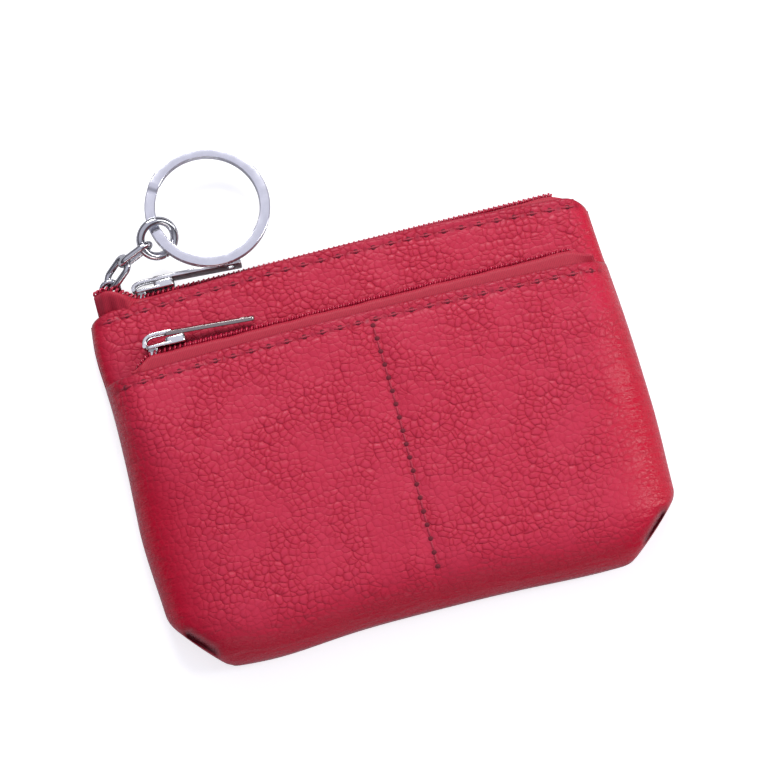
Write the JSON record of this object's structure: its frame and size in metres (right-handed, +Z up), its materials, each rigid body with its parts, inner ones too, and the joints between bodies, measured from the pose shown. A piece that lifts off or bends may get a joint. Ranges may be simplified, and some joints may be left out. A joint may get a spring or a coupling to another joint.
{
  "type": "zippered pouch",
  "caption": "Small rectangular pebbled leather pouch with a zip along the top, a zipped front pocket and a key ring on a short chain at one corner.",
  "frame": {"origin": "centre of the flat back the pouch lies on", "axes": "+X along the zips towards their open ends, +Y towards the main zip, +Z up out of the front"},
  "size_m": [0.1172, 0.113, 0.0158],
  "materials": {
    "leather": "pebbled, satin",
    "lining": "matt woven",
    "zip_tape": "fine twill",
    "zip_coil": "dyed nylon",
    "thread": "twisted",
    "nickel": "bright nickel plate",
    "chrome": "polished"
  },
  "bodies": {
    "back": {"back_panel": "leather", "back_lining": "lining", "main_tape_back": "zip_tape", "main_coil_back": "zip_coil", "ring_tab": "leather"},
    "front": {"front_panel": "leather", "front_lining": "lining", "main_tape_front": "zip_tape", "main_coil_front": "zip_coil", "stitch_front_edge": "thread", "pocket_tape_upper": "zip_tape", "pocket_coil_upper": "zip_coil"},
    "pocket": {"pocket_panel": "leather", "pocket_lining": "lining", "pocket_tape_lower": "zip_tape", "pocket_coil_lower": "zip_coil", "stitch_pocket_lip": "thread", "stitch_pocket_centre": "thread"},
    "main_slider": {"main_slider": "nickel"},
    "main_pull": {"main_pull": "nickel"},
    "pocket_slider": {"pocket_slider": "nickel"},
    "pocket_pull": {"pocket_pull": "nickel"},
    "end_loop": {"end_loop": "chrome"},
    "chain_link_1": {"chain_link_1": "chrome"},
    "chain_link_2": {"chain_link_2": "chrome"},
    "jump_ring": {"jump_ring": "chrome"},
    "split_ring": {"split_ring": "chrome"}
  },
  "joints": [
    {"name": "main_zip_slide", "type": "slide", "parent": "back", "child": "main_slider", "axis": [1, 0, 0], "range_m": [0, 0.088]},
    {"name": "main_mouth_open", "type": "hinge", "parent": "back", "child": "front", "pos_m": [0, -0.042, 0.0037], "axis": [1, 0, 0], "range_deg": [0, 12.1], "deforming": ["main_tape_front", "main_coil_front", "main_coil_back"]},
    {"name": "pocket_zip_slide", "type": "slide", "parent": "front", "child": "pocket_slider", "axis": [1, 0, 0], "range_m": [0, 0.088]},
    {"name": "pocket_mouth_open", "type": "hinge", "parent": "front", "child": "pocket", "pos_m": [0, -0.042, 0.0037], "axis": [1, 0, 0], "range_deg": [0, 8.1], "deforming": ["pocket_tape_lower", "pocket_coil_lower", "pocket_coil_upper"]},
    {"name": "main_pull_swing", "type": "hinge", "parent": "main_slider", "child": "main_pull", "pos_m": [-0.043, 0.04395, 0.0039], "axis": [0, 0, 1], "range_deg": [0, 120]},
    {"name": "pocket_pull_swing", "type": "hinge", "parent": "pocket_slider", "child": "pocket_pull", "pos_m": [-0.043, 0.02955, 0.0109], "axis": [0, 0, 1], "range_deg": [0, 32]},
    {"name": "end_loop_swing", "type": "hinge", "parent": "back", "child": "end_loop", "pos_m": [-0.0522, 0.043, 0.0037], "axis": [0, 0, 1], "range_deg": [0, 10]},
    {"name": "chain_link_1_swing", "type": "hinge", "parent": "end_loop", "child": "chain_link_1", "pos_m": [-0.05126, 0.0455, 0.00562], "axis": [0, 0, 1], "range_deg": [0, 12]},
    {"name": "chain_link_2_swing", "type": "hinge", "parent": "chain_link_1", "child": "chain_link_2", "pos_m": [-0.04708, 0.04895, 0.00835], "axis": [0, 0, 1], "range_deg": [0, 11]},
    {"name": "jump_ring_swing", "type": "hinge", "parent": "chain_link_2", "child": "jump_ring", "pos_m": [-0.04165, 0.05085, 0.00962], "axis": [0, 0, 1], "range_deg": [0, 35]},
    {"name": "split_ring_swing", "type": "hinge", "parent": "jump_ring", "child": "split_ring", "pos_m": [-0.03833, 0.05241, 0.00911], "axis": [0.3658, -0.93, 0.0369], "range_deg": [0, 18]}
  ],
  "couplings": [
    {"joint": "main_mouth_open", "follows": "main_zip_slide", "rad_per_m": 2.38},
    {"joint": "pocket_mouth_open", "follows": "pocket_zip_slide", "rad_per_m": 1.587}
  ]
}
